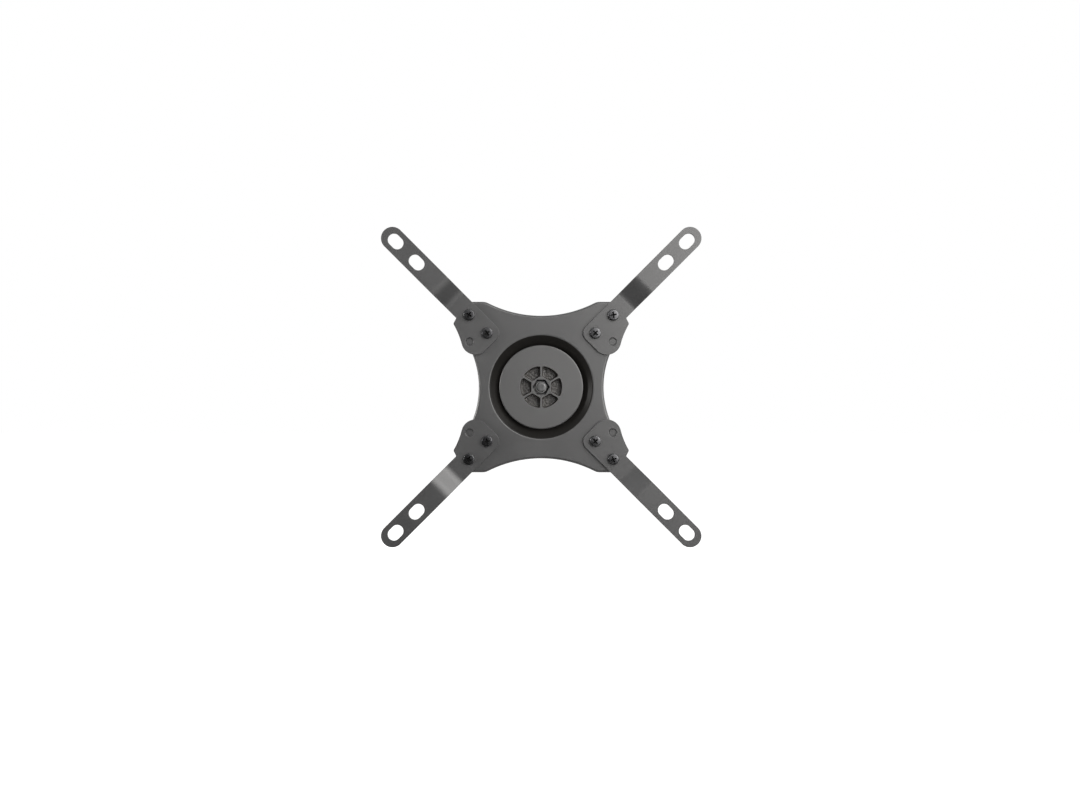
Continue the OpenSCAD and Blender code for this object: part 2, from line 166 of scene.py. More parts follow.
def put_in_scene(name, data):
    """Makes an object of a mesh, a light or a camera and puts it in the scene."""
    thing = bpy.data.objects.new(name, data)
    bpy.context.scene.collection.objects.link(thing)
    return thing


pressed_edge = 0.25
pressed_crease = 50


def finish_piece(bm, name, materials, body, nodes, pressed=0):
    """Makes the object and gives it to its body. Its flats shade flat and its rounded edges shade round."""
    mesh = as_mesh(bm, name)
    for material in materials:
        mesh.materials.append(material)
    mesh.shade_smooth()
    mesh.set_sharp_from_angle(angle=math.radians(crease))
    piece = put_in_scene(name, mesh)
    if pressed:
        skin = piece.modifiers.new("thickness of the sheet", "SOLIDIFY")
        skin.thickness = pressed * mm
        skin.offset = -1
        skin.use_even_offset = True
        skin.use_quality_normals = True
        soft = piece.modifiers.new("rounded edges", "BEVEL")
        soft.width = pressed_edge * mm
        soft.segments = 2
        soft.limit_method = "ANGLE"
        soft.angle_limit = math.radians(pressed_crease)
    shading = piece.modifiers.new("flat faces shade flat", "WEIGHTED_NORMAL")
    shading.keep_sharp = True
    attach(piece, body)
    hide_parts(*nodes)


surface = bpy.data.node_groups.new("surface grain", "ShaderNodeTree")
for name, kind in (
    ("Colour", "NodeSocketColor"), ("Second colour", "NodeSocketColor"),
    ("Patches per metre", "NodeSocketFloat"), ("Grains per metre", "NodeSocketFloat"),
    ("Least roughness", "NodeSocketFloat"), ("Most roughness", "NodeSocketFloat"),
):
    surface.interface.new_socket(name, in_out="INPUT", socket_type=kind)
for name, kind in (
    ("Colour", "NodeSocketColor"), ("Roughness", "NodeSocketFloat"), ("Height", "NodeSocketFloat"),
):
    surface.interface.new_socket(name, in_out="OUTPUT", socket_type=kind)
given = surface.nodes.new("NodeGroupInput")
result = surface.nodes.new("NodeGroupOutput")
where = surface.nodes.new("ShaderNodeTexCoord")
patches = surface.nodes.new("ShaderNodeTexNoise")
patches.inputs["Detail"].default_value = 4
grains = surface.nodes.new("ShaderNodeTexNoise")
grains.inputs["Detail"].default_value = 2
tint = surface.nodes.new("ShaderNodeMix")
tint.data_type = "RGBA"
polish = surface.nodes.new("ShaderNodeMapRange")
wire = surface.links.new
wire(where.outputs["Object"], patches.inputs["Vector"])
wire(where.outputs["Object"], grains.inputs["Vector"])
wire(given.outputs["Patches per metre"], patches.inputs["Scale"])
wire(given.outputs["Grains per metre"], grains.inputs["Scale"])
wire(patches.outputs["Fac"], tint.inputs["Factor"])
wire(given.outputs["Colour"], tint.inputs["A"])
wire(given.outputs["Second colour"], tint.inputs["B"])
wire(patches.outputs["Fac"], polish.inputs["Value"])
wire(given.outputs["Least roughness"], polish.inputs["To Min"])
wire(given.outputs["Most roughness"], polish.inputs["To Max"])
wire(tint.outputs["Result"], result.inputs["Colour"])
wire(polish.outputs["Result"], result.inputs["Roughness"])
wire(grains.outputs["Fac"], result.inputs["Height"])


def finish(name, colour, second, patch_count, grain_count, rough, relief, metallic=0.0, shine=0.5):
    """A material whose colour, polish and relief come from the surface grain."""
    material = bpy.data.materials.new(name)
    material.use_nodes = True
    tree = material.node_tree
    shader = tree.nodes["Principled BSDF"]
    shader.inputs["Metallic"].default_value = metallic
    shader.inputs["Specular IOR Level"].default_value = shine
    grain = tree.nodes.new("ShaderNodeGroup")
    grain.node_tree = surface
    grain.inputs["Colour"].default_value = (*colour, 1)
    grain.inputs["Second colour"].default_value = (*second, 1)
    grain.inputs["Patches per metre"].default_value = patch_count
    grain.inputs["Grains per metre"].default_value = grain_count
    grain.inputs["Least roughness"].default_value = rough[0]
    grain.inputs["Most roughness"].default_value = rough[1]
    bump = tree.nodes.new("ShaderNodeBump")
    bump.inputs["Strength"].default_value = 1
    bump.inputs["Distance"].default_value = relief * mm
    tree.links.new(grain.outputs["Colour"], shader.inputs["Base Color"])
    tree.links.new(grain.outputs["Roughness"], shader.inputs["Roughness"])
    tree.links.new(grain.outputs["Height"], bump.inputs["Height"])
    tree.links.new(bump.outputs["Normal"], shader.inputs["Normal"])
    return material


powder_coat = finish(
    "dark powder coat", (0.018, 0.018, 0.0185), (0.024, 0.024, 0.0245), 60, 2600, (0.36, 0.46), 0.012
)

plate_width = 56
plate_height = 92
plate_corner = 8
plate_thick = 2.5
wall_screw = (20, 38)
wall_screw_r = 3.25
rivet_at = (7, 12)
rivet_r = 2.5
plate_edge = 0.35
bm = bmesh.new()
rectangle(bm, plate_width, plate_height, plate_corner, 0)
for side in (-1, 1):
    for end in (-1, 1):
        circle(bm, place(side * wall_screw[0], end * wall_screw[1], 0), wall_screw_r)
        circle(bm, place(side * rivet_at[0], end * rivet_at[1], 0), rivet_r)
fill(bm)
thicken(bm, plate_thick)
round_edges(bm, plate_edge)
finish_piece(bm, "coated_wall_plate", [powder_coat], "wall", ["wall_plate"])

# Wall yoke and knuckle
# Two strips of 3 mm steel with round ends and a hole for a pivot bolt at each end, bent to a U on a press.
# One is riveted to the wall plate. The other carries the ball joint. Both are powder coated.

yoke_sheet = 3
yoke_width = 26
yoke_outside = 24
yoke_bend = 3.5
yoke_corner = 5
yoke_edge = 0.4
bend_steps = 8
wall_pivot = 28
head_pivot = 128
yoke_bolt_hole = 4.2
knuckle_face = 155
clamp_hole = 3.2


def whole(bm):
    """All that a drawing holds."""
    return bm.verts[:] + bm.edges[:] + bm.faces[:]


def turn_by(bm, degrees, axis):
    """Turns a whole drawing about the middle of the mount."""
    bmesh.ops.rotate(bm, verts=bm.verts, matrix=Matrix.Rotation(math.radians(degrees), 3, axis))


def move(bm, step):
    """Moves a whole drawing."""
    bmesh.ops.translate(bm, verts=bm.verts, vec=step)


def score(bm, lines):
    """Cuts the flat blank across at the lines where it will bend."""
    for line in lines:
        bmesh.ops.bisect_plane(
            bm, geom=whole(bm), dist=close_by / 2, plane_co=(line, 0, 0), plane_no=(1, 0, 0)
        )


def roll(bm, bends, radius):
    """Bends a flat blank along X. Each bend has the line where it starts, its centre and its angle."""
    lines = []
    for start, _, degrees in bends:
        length = math.radians(abs(degrees)) * radius
        lines.append([(start + length * k / bend_steps) * mm for k in range(bend_steps + 1)])
    score(bm, [line for group in lines for line in group])
    beyond = [[[v for v in bm.verts if v.co.x > line - close_by] for line in group[1:]] for group in lines]
    heading = Vector((1, 0, 0))
    for (_, centre, degrees), groups in zip(bends, beyond):
        turn = Matrix.Rotation(math.radians(degrees) / bend_steps, 3, -upward)
        length = math.radians(abs(degrees)) * radius / bend_steps * mm
        for verts in groups:
            bmesh.ops.translate(bm, verts=verts, vec=-heading * length)
            bmesh.ops.rotate(bm, verts=verts, cent=centre, matrix=turn)
            heading = turn @ heading


def yoke(pivot_reach, middle_hole, rivet_holes):
    """A yoke bent from a flat blank: its web lies on the wall's plane and its ears point to the room."""
    half_web = yoke_outside - yoke_bend - yoke_sheet / 2
    pivot_at = half_web + math.radians(90) * yoke_bend + pivot_reach - yoke_corner
    half = yoke_width / 2
    bm = bmesh.new()
    last = begin(bm, place(0, middle_hole, 0))
    if middle_hole:
        last = curve(bm, last, Vector(), -180)
    last = straight(bm, last, place(0, -half, 0))
    last = straight(bm, last, place(pivot_at, -half, 0))
    last = curve(bm, last, place(pivot_at, 0, 0), 180)
    last = straight(bm, last, place(0, half, 0))
    straight(bm, last, place(0, middle_hole, 0))
    circle(bm, place(pivot_at, 0, 0), yoke_bolt_hole)
    if rivet_holes:
        for side in (-1, 1):
            circle(bm, place(rivet_at[1], side * rivet_at[0], 0), rivet_r)
    close_seams(bm)
    fill(bm)
    thicken(bm, yoke_sheet)
    open_side = [f for f in bm.faces if all(abs(v.co.x) < close_by for v in f.verts)]
    bmesh.ops.delete(bm, geom=open_side, context="FACES")
    round_edges(bm, yoke_edge)
    roll(bm, [(half_web, place(half_web, 0, yoke_sheet / 2 + yoke_bend), 90)], yoke_bend)
    bmesh.ops.mirror(bm, geom=whole(bm), axis="X", merge_dist=close_by)
    bmesh.ops.recalc_face_normals(bm, faces=bm.faces)
    turn_by(bm, 90, toward_room)
    return bm


bm = yoke(wall_pivot - plate_thick, 0, True)
move(bm, place(0, 0, plate_thick))
finish_piece(bm, "coated_wall_yoke", [powder_coat], "wall", ["wall_yoke"])

bm = yoke(knuckle_face - head_pivot, clamp_hole, False)
turn_by(bm, 180, upward)
move(bm, place(0, 0, knuckle_face))
finish_piece(bm, "coated_knuckle", [powder_coat], "knuckle", ["knuckle"])

# Rivets
# Four solid steel rivets with round heads, zinc plated, hammered over through the yoke and the wall plate.

zinc = finish(
    "zinc plating", (0.17, 0.17, 0.175), (0.26, 0.26, 0.255), 180, 5200, (0.26, 0.4), 0.006, metallic=1
)
round_steps = 48
dome_steps = 8


def spin_full(bm, axis, steps):
    """Spins the drawn section by a full turn, as a lathe does, and closes its seam and its poles."""
    bmesh.ops.spin(
        bm, geom=bm.verts[:] + bm.edges[:], cent=Vector(), axis=axis, angle=math.radians(360), steps=steps,
        use_merge=True, use_duplicate=False,
    )
    close_seams(bm)
    bmesh.ops.recalc_face_normals(bm, faces=bm.faces)


def turned(bm, outline):
    """Spins an outline given as radii and heights about Z."""
    points = [Vector((radius, 0, height)) * mm for radius, height in outline]
    last = begin(bm, points[0])
    for point in points[1:]:
        last = straight(bm, last, point)
    spin_full(bm, upward, round_steps)


def stand(bm, point, towards_room=False):
    """Moves what was made about Z to its place, upright or pointing towards the room."""
    if towards_room:
        turn_by(bm, 90, "X")
    move(bm, point)


def dome(radius, height):
    """Points of a round head from its edge to its top."""
    ball = (radius ** 2 + height ** 2) / (2 * height)
    widest = math.asin(radius / ball)
    leans = [widest * (1 - k / dome_steps) for k in range(dome_steps + 1)]
    return [(ball * math.sin(lean), height - ball + ball * math.cos(lean)) for lean in leans]


def join(bm, other):
    """Adds a second drawing to the first."""
    mesh = as_mesh(other, "joined")
    bm.from_mesh(mesh)
    bpy.data.meshes.remove(mesh)


rivet_head = (4, 1.8)
rivet_foot = 0.3
rivet_length = plate_thick + yoke_sheet
bm = bmesh.new()
for side in (-1, 1):
    for end in (-1, 1):
        one = bmesh.new()
        head = [(radius, rivet_length + height) for radius, height in dome(*rivet_head)]
        shank = [(0, 0), (rivet_r - rivet_foot, 0), (rivet_r, rivet_foot), (rivet_r, rivet_length)]
        turned(one, shank + head)
        stand(one, place(side * rivet_at[0], end * rivet_at[1], 0), True)
        join(bm, one)
finish_piece(bm, "zinc_yoke_rivets", [zinc], "wall", ["yoke_rivets"])

# Pivot bolts, lock nuts and washers
# Two M8 bolts with six-sided heads hang through the yokes and the swing arm. Each has a washer under its head
# and another under a lock nut, whose nylon ring grips the thread. All the metal is zinc plated.

nylon = finish("natural nylon", (0.62, 0.6, 0.54), (0.7, 0.68, 0.62), 90, 1500, (0.4, 0.5), 0.01)
# The dark nylon is the liners' own colour, and it is also painted shade on the clamp nut's ring.
dark_nylon_and_nut_shade = finish("dark nylon", (0.01, 0.01, 0.011), (0.016, 0.016, 0.016), 200, 3000, (0.4, 0.5), 0.01)
chamfer_slope = math.tan(math.radians(30))
flat_share = 0.95
thread_depth = 0.54
thread_root = 0.5
thread_crest = 0.9
nylon_margin = 0.01


def round_at(radius, height):
    """A round level of a bolt or nut."""
    return lambda turn: (radius, height)


def six_sided(across, limit, height, slope):
    """A level on a hexagon whose corners lie lower or higher past a limit, as a chamfer leaves them."""
    def level(turn):
        radius = across / 2 / math.cos(turn % math.radians(60) - math.radians(30))
        return radius, height + slope * (radius - limit)
    return level


def stack(bm, levels, hollow=False):
    """Carries a ring from the first level through the others, and closes it on itself or caps its ends."""
    ring = bmesh.ops.create_circle(bm, segments=round_steps, radius=mm)["verts"]
    first = ring
    for number, level in enumerate(levels + levels[:1] if hollow else levels):
        if number:
            edges = [e for e in edges_at(ring) if all(v in ring for v in e.verts)]
            ring = points_of(bmesh.ops.extrude_edge_only(bm, edges=edges)["geom"])
        for v in ring:
            turn = math.atan2(v.co.y, v.co.x)
            radius, height = level(turn)
            v.co = Vector((radius * math.cos(turn), radius * math.sin(turn), height)) * mm
    if hollow:
        close_seams(bm)
    else:
        bmesh.ops.contextual_create(bm, geom=first)
        bmesh.ops.contextual_create(bm, geom=ring)
    bmesh.ops.recalc_face_normals(bm, faces=bm.faces)


def thread(radius, pitch, end, turns):
    """The levels of a thread from its run-out down to the bolt's end."""
    depth = thread_depth * pitch
    levels = [round_at(radius, end + turns * pitch)]
    for turn in range(turns, 0, -1):
        top = end + turn * pitch
        levels.append(round_at(radius - depth, top - thread_root * pitch))
        levels.append(round_at(radius, top - thread_crest * pitch))
    return levels + [round_at(radius - depth, end)]


def bolt(bm, across, head_height, radius, length, pitch, turns):
    """A bolt on Z with its head's underside at 0, its head above and its thread at the lower end."""
    flat_r = flat_share * across / 2
    neck = 0.3
    levels = [round_at(flat_r, head_height), six_sided(across, flat_r, head_height, -chamfer_slope)]
    levels += [six_sided(across, flat_r, 0, 0), round_at(radius + neck, 0), round_at(radius, -neck)]
    stack(bm, levels + thread(radius, pitch, -length, turns))


def lock_nut(bm, across, height, bore):
    """A lock nut on Z that stands on 0, with its collar rolled in over a nylon ring at the top."""
    flat_r = flat_share * across / 2
    hexagon_top = 0.7 * height
    collar = 0.43 * across
    lip = 0.35 * across
    sunk = height - 0.12 * across
    crimp = 0.02 * across
    levels = [round_at(bore, 0), round_at(flat_r, 0), six_sided(across, flat_r, 0, chamfer_slope)]
    levels += [six_sided(across, flat_r, hexagon_top, -chamfer_slope), round_at(collar, hexagon_top)]
    levels += [round_at(collar, height - 3 * crimp), round_at(collar - crimp, height - crimp)]
    levels += [round_at(collar - 2 * crimp, height), round_at(lip, height), round_at(lip, sunk)]
    levels.append(round_at(bore, sunk))
    stack(bm, levels, hollow=True)
    for f in bm.faces:
        middle = f.calc_center_median()
        inside_lip = math.hypot(middle.x, middle.y) < (lip - nylon_margin) * mm
        if inside_lip and middle.z > (sunk - nylon_margin) * mm:
            f.material_index = 1


washer_edge = 0.2


def washer(bm, outer, inner, thickness):
    """A stamped washer on Z that stands on 0."""
    turned(bm, [(inner, 0), (outer, 0), (outer, thickness), (inner, thickness), (inner, 0)])
    round_edges(bm, washer_edge, segments=2)


pivot_depths = {"wall": wall_pivot, "head": head_pivot}
pivot_body = {"wall": "wall", "head": "knuckle"}
pivot_r = 4
pivot_across = 13
pivot_head = 5.3
pivot_nut = 8
pivot_washer = (8, 4.2, 1.5)
pivot_end = 35.5
pivot_pitch = 1.25
pivot_thread = 16
bore_play = 0.02
head_seat = yoke_outside + pivot_washer[2]
for end, depth in pivot_depths.items():
    body = pivot_body[end]
    bm = bmesh.new()
    bolt(bm, pivot_across, pivot_head, pivot_r, head_seat + pivot_end, pivot_pitch, pivot_thread)
    stand(bm, place(0, head_seat, depth))
    finish_piece(bm, f"zinc_{end}_pivot_bolt", [zinc], body, [f"{end}_pivot_bolt"])

    bm = bmesh.new()
    lock_nut(bm, pivot_across, pivot_nut, pivot_r + bore_play)
    turn_by(bm, 180, "X")
    stand(bm, place(0, -head_seat, depth))
    finish_piece(bm, f"zinc_{end}_pivot_nut", [zinc, nylon], body, [f"{end}_pivot_nut"])

    bm = bmesh.new()
    washer(bm, *pivot_washer)
    stand(bm, place(0, yoke_outside, depth))
    lower = points_of(bmesh.ops.duplicate(bm, geom=whole(bm))["geom"])
    bmesh.ops.translate(bm, verts=lower, vec=-upward * (yoke_outside + head_seat) * mm)
    finish_piece(bm, f"zinc_{end}_pivot_washers", [zinc], body, [f"{end}_pivot_washers"])

# Swing arm
# An aluminium casting: a beam between two upright barrels, with a shallow panel in each side to save weight.
# The corners are rounded by the mould, the barrels are bored, and it is powder coated with the rest.

coated_cast = finish(
    "powder coat on a casting", (0.023, 0.023, 0.0232), (0.03, 0.03, 0.0302), 45, 1500, (0.38, 0.48), 0.02
)
mould_edge = 0.5
mould_crease = 30
facet_angle = 0.5
bm = bmesh.new()
bm.from_mesh(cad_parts["swing_arm"].data)
close_seams(bm)
bmesh.ops.dissolve_limit(bm, angle_limit=math.radians(facet_angle), verts=bm.verts, edges=bm.edges)
round_edges(bm, mould_edge, over=mould_crease, clamp=False)
finish_piece(bm, "coated_swing_arm", [coated_cast], "arm", ["swing_arm"])

# Bushes
# Four flanged sleeves of natural nylon, moulded, and pressed into the ends of the barrels. The bolts turn in
# them.

bush_outside = 6
bush_bore = 4.05
bush_flange = (9.5, 1.8)
bush_sleeve = 14
bush_lead = (0.5, 1)
bush_edge = 0.2
bush_crease = 60
barrel_end = 19
bush_start = barrel_end - bush_sleeve
bush_top = barrel_end + bush_flange[1]
for end, depth in pivot_depths.items():
    bm = bmesh.new()
    outline = [(bush_bore, bush_start), (bush_outside - bush_lead[0], bush_start)]
    outline += [(bush_outside, bush_start + bush_lead[1]), (bush_outside, barrel_end)]
    outline += [(bush_flange[0], barrel_end), (bush_flange[0], bush_top)]
    outline += [(bush_bore, bush_top), (bush_bore, bush_start)]
    turned(bm, outline)
    round_edges(bm, bush_edge, segments=2, over=bush_crease)
    bmesh.ops.mirror(bm, geom=whole(bm), axis="Z", merge_dist=0)
    bmesh.ops.recalc_face_normals(bm, faces=bm.faces)
    stand(bm, place(0, 0, depth))
    finish_piece(bm, f"nylon_{end}_end_bushes", [nylon], "arm", [f"{end}_end_bushes"])

# Clamp bolt and washer
# The M6 bolt and its washer sit inside the knuckle. The bolt runs out through the rear cup, the bowl and the
# cap, and is zinc plated and passivated black.

dark_zinc = finish(
    "black passivated zinc", (0.08, 0.08, 0.081), (0.16, 0.16, 0.16), 420, 5200,
    (0.24, 0.34), 0.012, metallic=1,
)
clamp_r = 3
clamp_across = 10
clamp_head = 4
clamp_washer = (6.2, 3.2, 1.5)
clamp_end = 174.3
clamp_pitch = 1
clamp_thread = 12
washer_back = knuckle_face - yoke_sheet - clamp_washer[2]
bm = bmesh.new()
bolt(bm, clamp_across, clamp_head, clamp_r, clamp_end - washer_back, clamp_pitch, clamp_thread)
turn_by(bm, 180, "X")
stand(bm, place(0, 0, washer_back), True)
finish_piece(bm, "zinc_clamp_bolt", [dark_zinc], "knuckle", ["clamp_bolt"])

bm = bmesh.new()
washer(bm, *clamp_washer)
stand(bm, place(0, 0, washer_back), True)
finish_piece(bm, "zinc_clamp_washer", [zinc], "knuckle", ["clamp_washer"])

# Rear cup and nylon dishes
# A turned and coated cup lies behind the bowl, with a thin dark nylon dish between them, and a second dish
# lies in the bowl under the cap. All four round faces share one centre in front of the plate.

ball_depth = 212.85
cup_r = 26
cup_ball = 54.05
cup_edge = 0.2
cup_crease = 30
liners = {"rear_liner": (53.85, 25.4), "front_liner": (50.45, 28)}
liner_thick = 1
liner_hole = 17
liner_edge = 0.15
dish_steps = 96


def hollow(bm, last, ball_r, to_radius):
    """Draws a round face's section about the shared centre, out or in to a radius, and returns its end."""
    here = math.asin(last.co.x / (ball_r * mm))
    there = math.asin(to_radius / ball_r)
    return curve(bm, last, place(0, 0, ball_depth), -math.degrees(there - here), upward)


def on_ball(ball_r, radius):
    """The point of a round face at a distance from the middle."""
    return place(radius, 0, ball_depth - math.sqrt(ball_r ** 2 - radius ** 2))


bm = bmesh.new()
first = begin(bm, on_ball(cup_ball, clamp_hole))
last = hollow(bm, first, cup_ball, cup_r)
last = straight(bm, last, place(cup_r, 0, knuckle_face))
last = straight(bm, last, place(clamp_hole, 0, knuckle_face))
straight(bm, last, first.co)
spin_full(bm, toward_room, dish_steps)
round_edges(bm, cup_edge, over=cup_crease)
finish_piece(bm, "coated_rear_cup", [coated_cast], "knuckle", ["rear_cup"])

for name, (outer_ball, edge_r) in liners.items():
    bm = bmesh.new()
    first = begin(bm, on_ball(outer_ball, liner_hole))
    last = hollow(bm, first, outer_ball, edge_r)
    last = straight(bm, last, on_ball(outer_ball - liner_thick, edge_r))
    last = hollow(bm, last, outer_ball - liner_thick, liner_hole)
    straight(bm, last, first.co)
    spin_full(bm, toward_room, dish_steps)
    round_edges(bm, liner_edge, segments=2)
    finish_piece(bm, f"nylon_{name}", [dark_nylon_and_nut_shade], name, [name])

# Screen plate
# A steel plate with four lobes, pressed in one go: a bowl in its middle with a soft lip round it, and a rim
# folded back all round. Eight holes are punched for the arms' screws, and it is powder coated.

sheet = 2
plate_face = 177
plate_half = 59.5
lobe_at = 50
shoulder_r = 9
top_hollow = (49.75, 81.87)
side_hollow = (43.5, 61.72)
rim_depth = 5
rim_fold = 1.7
rim_steps = 6
large_round_steps = 128
lip_at = 37
lip_r = 3
bowl_ball = 50.65
bowl_hole = 17
# Inside the bowl, out to the radius below, the coat is painted near black with little shine: painted shade
# for the dark ring between the lip and the cap.
shaded_bowl_r = 35.9
shaded_bowl_coat = finish(
    "coat painted dark for the shade in the bowl", (0.0045, 0.0043, 0.004), (0.0075, 0.007, 0.0065), 60, 2600,
    (0.3, 0.38), 0.006, shine=0.045,
)
screw_hole = 2.25
screw_patterns = {"inner": 37.5, "outer": 50}
corners = {"top_left": (-1, 1), "top_right": (1, 1), "bottom_left": (-1, -1), "bottom_right": (1, -1)}


def shoulder(waist, hollow_r):
    """Where a shoulder's centre lies along an edge, and by how many degrees the hollow beside it turns."""
    rise = waist + hollow_r - (plate_half - shoulder_r)
    along = math.sqrt((hollow_r + shoulder_r) ** 2 - rise ** 2)
    return along, math.degrees(math.atan2(along, rise))


def lobed_quarter(bm, depth):
    """Draws the plate's outline from the middle of its top edge to the middle of its right edge."""
    inward = plate_half - shoulder_r
    top_along, top_turn = shoulder(*top_hollow)
    side_along, side_turn = shoulder(*side_hollow)
    last = begin(bm, place(0, top_hollow[0], depth))
    last = curve(bm, last, place(0, sum(top_hollow), depth), top_turn)
    last = curve(bm, last, place(top_along, inward, depth), -top_turn)
    last = straight(bm, last, place(lobe_at, plate_half, depth))
    last = curve(bm, last, place(lobe_at, lobe_at, depth), -90)
    last = straight(bm, last, place(plate_half, side_along, depth))
    last = curve(bm, last, place(inward, side_along, depth), -side_turn)
    curve(bm, last, place(sum(side_hollow), 0, depth), side_turn)


bm = bmesh.new()
lobed_quarter(bm, plate_face - rim_depth)
for axis in "XZ":
    bmesh.ops.mirror(bm, geom=bm.verts[:] + bm.edges[:], axis=axis, merge_dist=close_by)
front = points_of(bmesh.ops.extrude_edge_only(bm, edges=bm.edges[:])["geom"])
bmesh.ops.translate(bm, verts=front, vec=toward_room * rim_depth * mm)
front_edges = [e for e in bm.edges if all(v in front for v in e.verts)]
bmesh.ops.edgeloop_fill(bm, edges=front_edges)
bmesh.ops.recalc_face_normals(bm, faces=bm.faces)
bmesh.ops.bevel(
    bm, geom=front_edges, offset=rim_fold * mm, offset_type="OFFSET", segments=rim_steps, profile=0.5,
    affect="EDGES", clamp_overlap=False, material=-1,
)
flat = max(bm.faces, key=lambda f: f.calc_area())
bmesh.ops.delete(bm, geom=[flat], context="FACES_ONLY")

section = bmesh.new()
last = begin(section, place(lip_at, 0, plate_face))
lip_turn = math.degrees(math.asin(lip_at / (bowl_ball + lip_r)))
last = curve(section, last, place(lip_at, 0, plate_face - lip_r), -lip_turn, upward)
last = hollow(section, last, bowl_ball, bowl_hole)
spin_full(section, toward_room, large_round_steps)
join(bm, section)
# Faces inside that radius take the darker coat, which is painted shade.
for f in bm.faces:
    middle = f.calc_center_median()
    if math.hypot(middle.x, middle.z) < shaded_bowl_r * mm:
        f.material_index = 1
for side, end in corners.values():
    for at in screw_patterns.values():
        circle(bm, place(side * at, end * at, plate_face), screw_hole)
fill(bm, plate_face)
bmesh.ops.recalc_face_normals(bm, faces=bm.faces)
finish_piece(
    bm, "coated_screen_plate", [powder_coat, shaded_bowl_coat], "head", ["screen_plate"], sheet
)

# Arms
# Four strips of 2 mm steel, punched with two screw holes in a foot that spreads to one side, two slots near
# the round tip and a shallow round mark in the foot. Each is stepped forward on a press and powder coated.

strip_width = 15.7
foot_start = 45.4
small_corner = 6.5
big_corner = 9.7
big_corner_at = (foot_start + big_corner, 9.6)
nub_at = (73.2, 11)
nub_r = 1.3
nub_turn = 20
waist_r = 57
foot_end = 75.6
mark_at = (57.5, 12.8)
mark_r = 2.9
mark_floor_r = 2.2
mark_depth = 1.1
mark_edge = 0.15
strip_edge = 0.42
step_start = 83.2
step_angle = 37
step_rise = 8
step_bend = 11
slot_size = (12, 8.5)
slot_far = 100 * math.sqrt(2)
slot_near = slot_far - 20.4
tip_centre = slot_far + 3

step_bend_length = math.radians(step_angle) * step_bend
step_sine = math.sin(math.radians(step_angle))
step_cosine = math.cos(math.radians(step_angle))
step_flat = (step_rise - 2 * step_bend * (1 - step_cosine)) / step_sine
second_bend = step_start + step_bend_length + step_flat
step_run = 2 * step_bend * step_sine + step_flat * step_cosine
step_end = step_start + step_run
unrolled = 2 * step_bend_length + step_flat - step_run


def turn_in_plane(radius, degrees, depth):
    """The point at an angle and a distance from the middle."""
    angle = math.radians(degrees)
    return place(radius * math.cos(angle), radius * math.sin(angle), depth)


def draw_slot(bm, along):
    """Draws a slot with round ends along the strip."""
    reach = (slot_size[0] - slot_size[1]) / 2
    half = slot_size[1] / 2
    last = begin(bm, place(along - reach, -half, 0))
    last = straight(bm, last, place(along + reach, -half, 0))
    last = curve(bm, last, place(along + reach, 0, 0), 180)
    last = straight(bm, last, place(along - reach, half, 0))
    curve(bm, last, place(along - reach, 0, 0), 180)


def blank():
    """An arm before it is bent: flat, with its foot at the left and the foot's wide side up."""
    half = strip_width / 2
    bm = bmesh.new()
    big = place(*big_corner_at, 0)
    nub = place(*nub_at, 0)
    apart = (nub - big).length
    along = (nub - big).normalized()
    from_big = (big_corner + waist_r) * mm
    from_nub = (nub_r + waist_r) * mm
    foot = (from_big ** 2 - from_nub ** 2 + apart ** 2) / (2 * apart)
    waist = big + along * foot + toward_room.cross(along) * math.sqrt(from_big ** 2 - foot ** 2)
    nub_end = math.degrees(math.atan2(waist.z - nub.z, waist.x - nub.x))
    big_start = math.degrees(math.atan2(waist.z - big.z, waist.x - big.x))
    last = begin(bm, place(foot_end, half, 0))
    last = straight(bm, last, nub + turn_in_plane(nub_r, nub_turn, 0))
    last = curve(bm, last, nub, nub_end - nub_turn)
    last = curve(bm, last, waist, big_start - nub_end)
    last = curve(bm, last, big, 180 - big_start)
    last = straight(bm, last, place(foot_start, small_corner - half, 0))
    last = curve(bm, last, place(foot_start + small_corner, small_corner - half, 0), 90)
    last = straight(bm, last, place(tip_centre + unrolled, -half, 0))
    last = curve(bm, last, place(tip_centre + unrolled, 0, 0), 180)
    straight(bm, last, place(foot_end, half, 0))
    for at in screw_patterns.values():
        circle(bm, place(at * math.sqrt(2), 0, 0), screw_hole)
    for along in (slot_near, slot_far):
        draw_slot(bm, along + unrolled)
    close_seams(bm)
    fill(bm)
    thicken(bm, sheet)
    return bm


def stamp_mark(bm):
    """Presses the round mark into the foot's front."""
    front = [f for f in bm.faces if all(abs(v.co.y + sheet * mm) < close_by for v in f.verts)]
    bmesh.ops.delete(bm, geom=front, context="FACES")
    edge = circle(bm, place(*mark_at, sheet), mark_r)
    fill(bm, sheet)
    low = points_of(bmesh.ops.extrude_edge_only(bm, edges=edge)["geom"])
    bmesh.ops.translate(bm, verts=low, vec=-toward_room * mark_depth * mm)
    shrink = mark_floor_r / mark_r
    middle = place(*mark_at, 0)
    bmesh.ops.scale(bm, verts=low, vec=(shrink, 1, shrink), space=Matrix.Translation(-middle))
    bmesh.ops.contextual_create(bm, geom=low)
    bmesh.ops.recalc_face_normals(bm, faces=bm.faces)
    round_edges(bm, mark_edge, chosen=edge, segments=2)


for name, (side, end) in corners.items():
    bm = blank()
    round_edges(bm, strip_edge)
    stamp_mark(bm)
    first_centre = place(step_start, 0, sheet / 2 + step_bend)
    second_centre = place(step_end, 0, sheet / 2 + step_rise - step_bend)
    roll(bm, [(step_start, first_centre, step_angle), (second_bend, second_centre, -step_angle)], step_bend)
    bmesh.ops.scale(bm, verts=bm.verts, vec=(1, 1, -1))
    turn_by(bm, 45, toward_room)
    bmesh.ops.scale(bm, verts=bm.verts, vec=(side, 1, end))
    bmesh.ops.recalc_face_normals(bm, faces=bm.faces)
    stand(bm, place(0, 0, plate_face))
    finish_piece(bm, f"coated_arm_{name}", [powder_coat], "head", [f"arm_{name}"])
